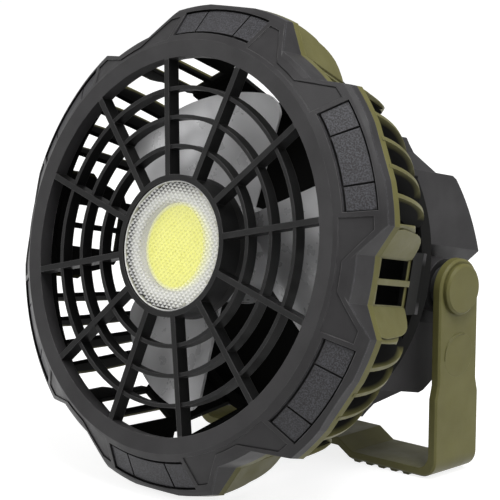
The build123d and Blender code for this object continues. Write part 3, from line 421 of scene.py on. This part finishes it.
def lens_plastic():
    """Clear moulded prism lens with a white rim.

    Facets that face the lower right get a painted grey shade, and those that face down get a painted dark
    reflection of the black wall, along the left of the rim.
    """
    s = Shader("lens_plastic_prisms")
    radius = s.head_place()[1]
    look = s.facing()
    look_right = s.vector("DOT_PRODUCT", look, RIGHT)
    look_up = s.vector("DOT_PRODUCT", look, UP)
    # Painted shade: facets turned towards the lower right are greyer.
    shaded_facets = s.span(s.math("SUBTRACT", look_right, look_up), 0.3, 0.5)
    # Painted dark reflection of the black wall on downward facets near the rim, on the left.
    dark = s.product(s.past(radius, DARK_R, DARK_FADE), s.before(radius, PRISM_FIELD_R - 0.1, 0.1))
    on_left = s.span(s.across_head()[0], DARK_X * MM, DARK_END_X * MM, 1.0, 0.1)
    dark = s.product(dark, s.span(look_up, -0.2, -0.3), on_left)
    rim = s.past(radius, PRISM_FIELD_R, 0.1)
    clear = s.mix(s.noise(1.6), rgb(254, 254, 252), rgb(246, 247, 244))
    facet_shade_share = s.product(shaded_facets, s.span(radius, GLOW_R * MM, GREY_END_R * MM, 0.6, 0.3))
    tone = s.mix(facet_shade_share, clear, rgb(120, 120, 112))
    tone = s.mix(dark, tone, rgb(22, 22, 22))
    tone = s.mix(rim, tone, rgb(246, 246, 245))
    solid = s.math("ADD", 0.22, s.product(shaded_facets, 0.10))
    solid = s.math("ADD", solid, s.span(radius, GLOW_R * MM, HAZE_R * MM, 0.0, 0.42))
    solid = s.largest(solid, s.product(dark, 0.9), s.product(rim, 0.85))
    s.set(base_color=tone, roughness=s.varied(0.9, 0.1, 0.2), alpha=solid)
    s.level("Coat Weight", 0.5)
    s.level("Coat Roughness", 0.06)
    return s


def phosphor():
    """Yellow silicone gel over the light-giving chips, which show as faint dots; it has a faint painted glow,
    though the lamp is off.
    """
    s = Shader("phosphor_gel")
    dots = s.span(s.cells(1.6), 0.15, 0.5)
    tone = s.mix(dots, rgb(226, 224, 70), rgb(240, 239, 94))
    tone = s.mix(s.span(s.noise(7), 0.35, 0.7, 0.0, 0.4), tone, rgb(244, 243, 118))
    at_edge = s.span(s.head_place()[1], GEL_FADE_R * MM, GEL_R * MM, 0.0, 0.6, smooth=True)
    tone = s.mix(at_edge, tone, rgb(232, 232, 214))
    s.set(base_color=tone, roughness=s.varied(2, 0.28, 0.38))
    # Painted glow, so that the gel stays bright under the lens.
    s.set(emission_color=tone)
    s.level("Emission Strength", 0.32)
    s.set(normal=s.bump(dots, 0.05, 0.4))
    return s


def metal(name, colour, pale, rough=0.3):
    """Plated or turned metal with fine marks and darker stains."""
    s = Shader(name)
    normal = s.edges(0.2)[0]
    stretched = s.add("ShaderNodeMapping")
    stretched.inputs["Scale"].default_value = (0.08, 1, 1)
    s.join(s.place, stretched.inputs["Vector"])
    marks = s.noise(0.4, place=stretched.outputs["Vector"])
    tone = s.mix(marks, colour, pale)
    tone = s.mix(s.span(s.noise(8, 4), 0.5, 0.8, 0.0, 0.35), tone, rgb(92, 88, 82))
    s.set(base_color=tone, metallic=1.0, roughness=s.span(marks, 0.2, 0.8, rough - 0.08, rough + 0.12))
    s.set(normal=s.bump(marks, 0.01, 0.5, normal))
    return s


def rubber(name, colour, pale):
    """Soft matt rubber."""
    s = moulded(name, colour, pale, rough=0.62, grain=0.25, gloss=0.35)
    s.level("Sheen Weight", 0.15)
    s.level("Sheen Roughness", 0.5)
    return s


def board_green():
    """Circuit board with faint tracks under the mask."""
    s = Shader("board_green_mask")
    tracks = s.add("ShaderNodeTexBrick")
    tracks.inputs["Scale"].default_value = 1 / (9 * MM)
    tracks.inputs["Mortar Size"].default_value = 0.03
    tracks.inputs["Color1"].default_value = rgb(22, 70, 42)
    tracks.inputs["Color2"].default_value = rgb(26, 80, 48)
    tracks.inputs["Mortar"].default_value = rgb(46, 112, 66)
    s.join(s.place, tracks.inputs["Vector"])
    tone = s.mix(s.span(s.noise(4), 0.4, 0.7, 0.0, 0.3), tracks.outputs["Color"], rgb(18, 58, 36))
    s.set(base_color=tone, roughness=s.varied(3, 0.25, 0.4))
    s.set(normal=s.bump(tracks.outputs["Fac"], 0.05, 0.5))
    return s


def window_plastic():
    """Smoked window over the charge lights."""
    s = moulded("window_smoke", rgb(64, 66, 66), rgb(84, 86, 86), rough=0.12, depth=0.002, edge=0.15)
    s.level("Coat Weight", 0.8)
    return s


PAINTS = {
    "front_grille": black_plastic(),
    "lamp_lens": lens_plastic(),
    "lamp_reflector": moulded(
        "reflector_white", rgb(232, 231, 226), rgb(244, 243, 240), 0.25, depth=0.004, edge=0.2
    ),
    "led_board": moulded(
        "board_white_mask", rgb(228, 227, 222), rgb(240, 239, 236), 0.35, depth=0.006, edge=0.2
    ),
    "led_phosphor": phosphor(),
    "lamp_cup": moulded("cup_plastic_grained", rgb(38, 37, 37), rgb(50, 49, 49), 0.5),
    "louvre_cage": olive_plastic(),
    "fan_rotor": rotor_plastic(),
    "motor_shaft": metal("shaft_steel_ground", rgb(170, 170, 172), rgb(205, 205, 206)),
    "motor_bearings": metal("bearing_bronze", rgb(168, 122, 70), rgb(196, 152, 96)),
    "motor_can": metal("motor_steel_plated", rgb(150, 150, 150), rgb(186, 186, 184), 0.34),
    "motor_mount": moulded("mount_plastic_grained", rgb(40, 40, 40), rgb(54, 53, 53), 0.5),
    "rear_housing": housing_plastic(),
    "back_panel": moulded("panel_plastic_grained", rgb(36, 36, 37), rgb(48, 48, 49)),
    "fan_button": rubber("button_rubber_fan", BUTTON, BUTTON_PALE),
    "light_button": rubber("button_rubber_light", BUTTON, BUTTON_PALE),
    "charge_window": window_plastic(),
    "control_board": board_green(),
    "usb_c_socket": metal("socket_c_steel", SOCKET, SOCKET_PALE, 0.25),
    "usb_a_socket": metal("socket_a_steel", SOCKET, SOCKET_PALE, 0.25),
    "port_cover": rubber("cover_rubber_soft", rgb(40, 40, 41), rgb(54, 54, 55)),
    "battery_cells": moulded("cell_wrap_film", rgb(46, 96, 132), rgb(62, 118, 156), 0.22, grain=1.5),
    "battery_cradle": moulded("cradle_plastic_grained", rgb(46, 46, 46), rgb(60, 60, 60), 0.5),
    "pivot_washers": rubber("washer_rubber_black", rgb(30, 30, 30), rgb(44, 43, 43)),
    "pivot_bolts": metal("bolt_steel_plated", ZINC, ZINC_PALE),
    "pivot_nuts": metal("nut_steel_plated", ZINC, ZINC_PALE),
    "pivot_caps": olive_moulding("cap_plastic_grained", 0.42),
    "stand": olive_moulding("stand_plastic_grained", 0.44),
}
for node_name, shader in PAINTS.items():
    for material_slot in NODES[node_name].material_slots:
        material_slot.material = shader.material


# ---------------------------------------------------------------- pieces that only the scene makes
class Piece:
    """Mesh put together from slabs and turned forms, in mm of the head's frame unless finish gets another."""

    def __init__(self, name):
        self.name = name
        self.corners = []
        self.faces = []

    def slab(self, outline, offset):
        """Closed plate: a flat outline of 3-D points, and the step to its other face."""
        first = len(self.corners)
        count = len(outline)
        self.corners += [Vector(spot) for spot in outline]
        self.corners += [Vector(spot) + Vector(offset) for spot in outline]
        self.faces.append([first + i for i in range(count)])
        self.faces.append([first + count + i for i in reversed(range(count))])
        for i in range(count):
            after = (i + 1) % count
            self.faces.append([first + i, first + count + i, first + count + after, first + after])

    def turned(self, profile, middle=(0, 0), sides=48):
        """Closed form turned about an axis beside the head's own, from (radius, z) points."""
        first = len(self.corners)
        rows = len(profile)
        for k in range(sides):
            turn = 2 * pi * k / sides
            for radius, z in profile:
                x = middle[0] + radius * cos(turn)
                y = middle[1] + radius * sin(turn)
                self.corners.append(Vector((x, y, z)))
        for k in range(sides):
            after = (k + 1) % sides
            for row in range(rows):
                below = (row + 1) % rows
                spots = (k * rows + row, after * rows + row, after * rows + below, k * rows + below)
                self.faces.append([first + spot for spot in spots])

    def finish(self, shader, body, bevel=0.0, stands_for=None, place=HEAD):
        """Turn the lists into an object that rides on a body."""
        mesh = bpy.data.meshes.new(self.name)
        mesh.from_pydata([place @ (corner * MM) for corner in self.corners], [], self.faces)
        work = bmesh.new()
        work.from_mesh(mesh)
        bmesh.ops.remove_doubles(work, verts=work.verts, dist=0.002 * MM)
        bmesh.ops.recalc_face_normals(work, faces=work.faces)
        work.to_mesh(mesh)
        work.free()
        mesh.materials.append(shader.material)
        piece = bpy.data.objects.new(self.name, mesh)
        bpy.context.scene.collection.objects.link(piece)
        if bevel:
            rounding = piece.modifiers.new("rounding", "BEVEL")
            rounding.width = bevel * MM
            rounding.segments = 2
            rounding.limit_method = "ANGLE"
        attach(piece, body)
        if stands_for:
            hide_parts(stands_for)


# Lens with prisms
PRISM_PITCH = 1.75
PRISM_D = 0.55
LENS_CHAMFER = 0.35
FIELD_BREAK = 0.2           # width of the slope from the rim down to the prisms
FIELD_MARGIN = 0.3          # no prism's middle is nearer than this to the field's edge


def lens_prisms():
    """Lamp lens with a field of small pyramids, set cornerwise, inside a plain rim."""
    lens = Piece("lens_prisms")
    valley = LENS_HIGH - PRISM_D
    rim = [
        (PRISM_FIELD_R, LENS_LOW),
        (LENS_R, LENS_LOW),
        (LENS_R, LENS_HIGH - LENS_CHAMFER),
        (LENS_R - LENS_CHAMFER, LENS_HIGH),
        (PRISM_FIELD_R + FIELD_BREAK, LENS_HIGH),
        (PRISM_FIELD_R, valley),
    ]
    lens.turned(rim, sides=96)
    reach = int(PRISM_FIELD_R / PRISM_PITCH) + 2

    def corner(i, j):
        """Corner of a prism's foot: a square lattice turned by 45 degrees, kept inside the field."""
        spot = Vector((i * PRISM_PITCH, j * PRISM_PITCH))
        if spot.length > PRISM_FIELD_R:
            spot *= PRISM_FIELD_R / spot.length
        return Vector(((spot.x - spot.y) * sqrt(0.5), (spot.x + spot.y) * sqrt(0.5), valley))

    for i in range(-reach, reach):
        for j in range(-reach, reach):
            if Vector((i + 0.5, j + 0.5)).length * PRISM_PITCH > PRISM_FIELD_R - FIELD_MARGIN:
                continue
            foot = [corner(i, j), corner(i + 1, j), corner(i + 1, j + 1), corner(i, j + 1)]
            first = len(lens.corners)
            tip = sum(foot, Vector((0, 0, 0))) / 4 + Vector((0, 0, PRISM_D))
            lens.corners += foot + [tip]
            lens.faces += [[first + k, first + (k + 1) % 4, first + 4] for k in range(4)]
    lens.finish(PAINTS["lamp_lens"], "head", stands_for="lamp_lens")


# Side plates of the recesses
FLANK_FOOT_Y = 9.87         # half width of a recess panel
FLANK_LINE = Vector((7.6, 13.03))   # the way a flank runs outwards from the panel
FLANK_OUTLINE = (           # outer edge, as radius and depth
    (103.2, 20.9), (102.1, 26.8), (99.6, 34.5), (97.1, 41.7), (95.8, 44.6),
    (94.3, 47.3), (92.6, 49.5), (90.4, 51.0), (87.8, 51.8),
)
FLANK_WALL = 2.3
FLANK_EXTRA = 0.3           # added to the wall, measured along the recess's radius as the wall is
FLANK_OFFSET = 0.03         # keeps the plates' faces off the solids'


def flank_foot(depth):
    """Where a flank meets the recess panel's face, at a depth behind the lip."""
    return Vector((PANEL_R - PANEL_LEAN * (depth - FLANGE_D), FLANK_FOOT_Y, -depth))


def flank_spot(radius, depth):
    """Point of a flank at a distance from the axis and a depth."""
    foot = flank_foot(depth).to_2d()
    slope = FLANK_LINE.normalized()
    along = foot.dot(slope)
    share = -along + sqrt(max(along * along - foot.length_squared + radius * radius, 0.0))
    spot = foot + slope * share
    return Vector((spot.x, spot.y, -depth))


def recess_flanks():
    """Full-depth side plates of the six recesses, with a rounded outer corner at the rear."""
    flanks = Piece("recess_flanks")
    outline = [flank_spot(radius, depth) for radius, depth in FLANK_OUTLINE]
    outline += [flank_foot(FLANK_OUTLINE[-1][1]), flank_foot(FLANK_OUTLINE[0][1])]
    aside = Vector((FLANK_LINE.y, -FLANK_LINE.x, 0)).normalized() * -FLANK_OFFSET
    step = Vector((-FLANK_WALL - FLANK_EXTRA, 0, 0))
    for k in range(RECESSES):
        turn = Matrix.Rotation(k * RECESS_STEP, 3, "Z")
        for mirror in (1, -1):
            flip = Matrix.Diagonal((1, mirror, 1))
            flanks.slab([turn @ flip @ (spot + aside) for spot in outline], turn @ flip @ step)
    flanks.finish(PAINTS["louvre_cage"], "head", bevel=0.25)


# Small trim on the rear panel. z runs forwards, so a smaller z stands out further.
BACK = -134.0               # the rear panel's outer face
BUTTON_FACE = -135.6
BUTTON_X = 32
SYMBOL_FOOT = BUTTON_FACE + 0.1
SYMBOL_RISE = (0, 0, -0.25)
SCREW_X = 40.5
SCREW_Y = 11.5
SCREW_PROFILE = (           # radius and z over the panel
    (0.7, 0.3), (0.7, -0.35), (1.1, -0.75), (1.9, -0.6), (2.4, -0.2), (2.4, 0.3),
)
SCREW_BLOCK = ((0.3, -1.0), (1.7, -1.0), (1.7, -0.35), (0.3, -0.35))
SCREW_BLOCK_Z = -0.72
SCREW_BLOCK_D = 0.5
LIGHT_XS = (-9, -3, 3, 9)
LIGHT_Y = 8.6
LIGHT_PROFILE = ((0.01, 0.1), (0.9, 0.1), (0.9, -0.05), (0.7, -0.12), (0.01, -0.12))
VANE_OUT = 1.9              # from the hub to a vane's middle
VANE_R = 1.5
VANE_SQUEEZE = 0.55
VANE_SKEW = 0.5             # radians
VANE_HUB_R = 0.55
LAMP_R = 1.3
RAYS = 8
RAY_OUT = 2.6
RAY_R = 0.7
RAY_SQUEEZE = 0.35


def on_panel(profile):
    """A profile given over the rear panel's face, in the head's frame."""
    return [(radius, BACK + z) for radius, z in profile]


def swung(x, y, turn, middle):
    """Point turned about the origin and moved to a middle."""
    return middle[0] + x * cos(turn) - y * sin(turn), middle[1] + x * sin(turn) + y * cos(turn)


def ring_of(middle, radius, sides, squeeze=1.0, turn=0.0):
    """Points of an oval on a button's face, from which a slab is made."""
    spots = []
    for k in range(sides):
        angle = 2 * pi * k / sides
        spot = swung(radius * cos(angle), radius * squeeze * sin(angle), turn, middle)
        spots.append((*spot, SYMBOL_FOOT))
    return spots


def panel_screws():
    """Four domed screws at the rear panel's corners, each with four low blocks on its head."""
    screws = Piece("panel_screws")
    for x in (-SCREW_X, SCREW_X):
        for y in (-SCREW_Y, SCREW_Y):
            screws.turned(on_panel(SCREW_PROFILE), (x, y), 32)
            for turn in (0, pi / 2):
                for side in (-1, 1):
                    block = [swung(side * along, across, turn, (x, y)) for along, across in SCREW_BLOCK]
                    screws.slab([(*spot, BACK + SCREW_BLOCK_Z) for spot in block], (0, 0, SCREW_BLOCK_D))
    steel = metal("screw_steel_plated", rgb(120, 120, 120), rgb(160, 160, 160))
    screws.finish(steel, "head")


def charge_lights():
    """Four round charge lights in the window."""
    lights = Piece("charge_lights")
    for x in LIGHT_XS:
        lights.turned(on_panel(LIGHT_PROFILE), (x, LIGHT_Y), 24)
    diffuser = moulded("charge_light_diffuser", rgb(150, 190, 150), rgb(180, 214, 180), 0.3, depth=0.002)
    lights.finish(diffuser, "head")


def fan_symbol():
    """Three raised vanes round a hub, on the fan's button."""
    symbol = Piece("fan_symbol")
    for k in range(3):
        turn = 2 * pi * k / 3 + pi / 2
        middle = (-BUTTON_X + VANE_OUT * cos(turn), VANE_OUT * sin(turn))
        symbol.slab(ring_of(middle, VANE_R, 20, VANE_SQUEEZE, turn + VANE_SKEW), SYMBOL_RISE)
    symbol.slab(ring_of((-BUTTON_X, 0), VANE_HUB_R, 16), (0, 0, -0.3))
    paint = rubber("symbol_rubber_fan", SYMBOL, SYMBOL_PALE)
    symbol.finish(paint, "fan_button", bevel=0.05)


def light_symbol():
    """Raised round lamp with short rays, on the light's button."""
    symbol = Piece("light_symbol")
    symbol.slab(ring_of((BUTTON_X, 0), LAMP_R, 24), SYMBOL_RISE)
    for k in range(RAYS):
        turn = 2 * pi * k / RAYS
        middle = (BUTTON_X + RAY_OUT * cos(turn), RAY_OUT * sin(turn))
        symbol.slab(ring_of(middle, RAY_R, 12, RAY_SQUEEZE, turn), SYMBOL_RISE)
    paint = rubber("symbol_rubber_light", SYMBOL, SYMBOL_PALE)
    symbol.finish(paint, "light_button", bevel=0.05)


# Inlays of the stand's arms, in mm of the shared frame
ARM_FACE = 71.5             # an arm's outer face from the middle
DIMPLE_R = 9.7
DIMPLE_Z = 54.07
DIMPLE_SIDES = 64
PLATE_T = 1.3
PLATE_PROUD = 0.02
CRESCENT_R = 0.97 * DIMPLE_R
CRESCENT_START = 65         # degrees from straight back, over the top and forwards
CRESCENT_ARC = 125
CRESCENT_STEPS = 24
CRESCENT_W = 0.9            # added in the middle to the width of the tips
CRESCENT_TIP = 0.1
CRESCENT_T = 0.85
CRESCENT_SINK = 0.5         # the part of that thickness inside the arm


def arm_spot(x, radius, turn):
    """Point of an arm's side, at a distance and angle from its dimple's middle."""
    return x, radius * cos(turn), DIMPLE_Z + radius * sin(turn)


def arm_pads():
    """Flush round inlays in the arms' outer faces, each with a raised crescent at its upper front edge."""
    pads = Piece("arm_pads")
    steps = range(CRESCENT_STEPS + 1)
    turns = [2 * pi * k / DIMPLE_SIDES for k in range(DIMPLE_SIDES)]
    arc = [radians(CRESCENT_START + CRESCENT_ARC * k / CRESCENT_STEPS) for k in steps]
    widths = [CRESCENT_W * sin(pi * k / CRESCENT_STEPS) + CRESCENT_TIP for k in steps]
    outer = [(CRESCENT_R, turn) for turn in arc]
    inner = [(CRESCENT_R - width, turn) for width, turn in zip(widths, arc)]
    for side in (-1, 1):
        plate = [arm_spot(side * (ARM_FACE - PLATE_T), DIMPLE_R, turn) for turn in turns]
        pads.slab(plate, (side * (PLATE_T + PLATE_PROUD), 0, 0))
        foot = side * (ARM_FACE - CRESCENT_SINK)
        crescent = [arm_spot(foot, radius, turn) for radius, turn in outer + inner[::-1]]
        pads.slab(crescent, (side * CRESCENT_T, 0, 0))
    pads.finish(PAINTS["stand"], "stand", bevel=0.12, place=Matrix())


lens_prisms()
recess_flanks()
arm_pads()
panel_screws()
charge_lights()
fan_symbol()
light_symbol()

# ---------------------------------------------------------------- room, light and camera
FLOOR_REACH = 6             # metres from the middle to each side
FLOOR_TONE = (0.44, 0.44, 0.44, 1)
FLOOR_PALE = (0.46, 0.46, 0.46, 1)
FLOOR_GLOW = 0.82           # added to the floor for rays that see the background
SKY_LEVEL = 0.40
MIDDLE_Z = (CAD_BOX[0][2] + CAD_BOX[1][2]) / 2
SOFTBOXES = (               # name, place, point aimed at, size in metres, watts
    ("key", (0.45, -0.15, 1.2), (0, -0.03, MIDDLE_Z), 0.8, 13),
    ("side", (1.2, 0.1, 0.6), (0, 0, MIDDLE_Z), 0.9, 4),
    ("left", (-0.7, -1.1, 0.6), (0, -0.05, MIDDLE_Z), 0.9, 5),
)
CAMERA_PLACE = Vector((0.7254, -0.8328, 0.3024))
CAMERA_LOOK = Vector((-0.6701, 0.7179, -0.1888))
CAMERA_ROLL = radians(0.31)
CAMERA_SENSOR = 36.0
CAMERA_LENS = 180.45


def studio_floor():
    """Pale floor that reaches far past the object, and still takes the shadow."""
    mesh = bpy.data.meshes.new("floor")
    work = bmesh.new()
    bmesh.ops.create_grid(work, x_segments=8, y_segments=8, size=FLOOR_REACH)
    work.to_mesh(mesh)
    work.free()
    floor = bpy.data.objects.new("floor", mesh)
    bpy.context.scene.collection.objects.link(floor)
    s = Shader("floor_paper")
    s.set(base_color=s.mix(s.noise(300), FLOOR_TONE, FLOOR_PALE), roughness=0.9)
    s.level("Specular IOR Level", 0.0)
    rays = s.add("ShaderNodeLightPath")
    seen = s.math("ADD", rays.outputs["Is Camera Ray"], rays.outputs["Is Glossy Ray"], clamp=True)
    seen = s.math("ADD", seen, rays.outputs["Is Transmission Ray"], clamp=True)
    glow = s.add("ShaderNodeEmission")
    s.feed(glow.inputs["Strength"], s.math("MULTIPLY", seen, FLOOR_GLOW))
    both = s.add("ShaderNodeAddShader")
    s.join(s.surface.outputs[0], both.inputs[0])
    s.join(glow.outputs[0], both.inputs[1])
    s.join(both.outputs[0], s.output.inputs["Surface"])
    mesh.materials.append(s.material)


def studio_world():
    """Surroundings that are white to the camera and through the lens, and light the object softly."""
    world = bpy.data.worlds.new("studio")
    bpy.context.scene.world = world
    world.use_nodes = True
    tree = world.node_tree
    back = tree.nodes["Background"]
    back.inputs["Color"].default_value = (1, 1, 1, 1)
    rays = tree.nodes.new("ShaderNodeLightPath")
    seen = tree.nodes.new("ShaderNodeMath")
    seen.operation = "MAXIMUM"
    tree.links.new(rays.outputs["Is Camera Ray"], seen.inputs[0])
    tree.links.new(rays.outputs["Is Transmission Ray"], seen.inputs[1])
    level = tree.nodes.new("ShaderNodeMapRange")
    level.inputs["To Min"].default_value = SKY_LEVEL
    level.inputs["To Max"].default_value = 1.0
    tree.links.new(seen.outputs[0], level.inputs["Value"])
    tree.links.new(level.outputs[0], back.inputs["Strength"])


def softbox(name, place, aim, size, watts):
    """Square area lamp looking at a point."""
    lamp = bpy.data.lights.new(name, "AREA")
    lamp.shape = "SQUARE"
    lamp.size = size
    lamp.energy = watts
    holder = bpy.data.objects.new(name, lamp)
    bpy.context.scene.collection.objects.link(holder)
    holder.location = place
    holder.rotation_euler = (Vector(aim) - Vector(place)).to_track_quat("-Z", "Y").to_euler()


def photo_camera():
    """The photograph's viewpoint: a long lens from the front right, a little above."""
    lens = bpy.data.cameras.new("camera")
    lens.sensor_fit = "HORIZONTAL"
    lens.sensor_width = CAMERA_SENSOR
    lens.lens = CAMERA_LENS
    camera = bpy.data.objects.new("camera", lens)
    bpy.context.scene.collection.objects.link(camera)
    turn = CAMERA_LOOK.to_track_quat("-Z", "Y").to_matrix() @ Matrix.Rotation(CAMERA_ROLL, 3, "Z")
    camera.matrix_world = Matrix.Translation(CAMERA_PLACE) @ turn.to_4x4()
    bpy.context.scene.camera = camera


studio_floor()
studio_world()
for settings in SOFTBOXES:
    softbox(*settings)
photo_camera()
bpy.context.scene.view_settings.view_transform = "Standard"
